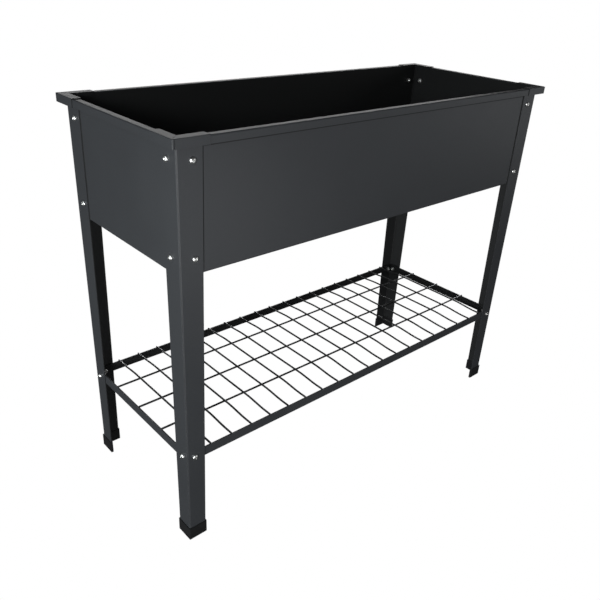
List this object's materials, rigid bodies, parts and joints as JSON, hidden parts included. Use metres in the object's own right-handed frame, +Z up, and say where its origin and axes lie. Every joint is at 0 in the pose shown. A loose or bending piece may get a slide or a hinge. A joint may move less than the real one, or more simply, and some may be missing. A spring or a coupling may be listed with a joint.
{
  "type": "raised planter",
  "caption": "Rectangular sheet-steel planting trough raised on tapered angle legs, with a folded rim, corner caps, plastic feet and a bolted wire shelf underneath.",
  "frame": {"origin": "on the floor, under the middle of the trough", "axes": "+X along the length of the trough, -Y the front, +Z up"},
  "size_m": [1.001, 0.393, 0.8],
  "materials": {
    "anthracite_coat": "fine satin powder coat",
    "black_wire_coat": "satin powder coat over steel wire",
    "black_plastic": "moulded, fine grain",
    "zinc_plate": "bright zinc plate"
  },
  "bodies": {
    "root": {"front_panel": "anthracite_coat", "right_end_panel": "anthracite_coat", "back_panel": "anthracite_coat", "left_end_panel": "anthracite_coat", "base_panel": "anthracite_coat", "front_left_corner_cap": "anthracite_coat", "front_right_corner_cap": "anthracite_coat", "back_right_corner_cap": "anthracite_coat", "back_left_corner_cap": "anthracite_coat", "front_left_leg": "anthracite_coat", "front_right_leg": "anthracite_coat", "back_right_leg": "anthracite_coat", "back_left_leg": "anthracite_coat", "front_left_foot": "black_plastic", "front_right_foot": "black_plastic", "back_right_foot": "black_plastic", "back_left_foot": "black_plastic", "front_shelf_rail": "anthracite_coat", "right_shelf_rail": "anthracite_coat", "back_shelf_rail": "anthracite_coat", "left_shelf_rail": "anthracite_coat", "shelf_cross_wires": "black_wire_coat", "shelf_long_wires": "black_wire_coat", "trough_bolts": "zinc_plate", "trough_nuts": "zinc_plate", "shelf_bolts": "zinc_plate", "shelf_nuts": "zinc_plate"}
  },
  "joints": []
}
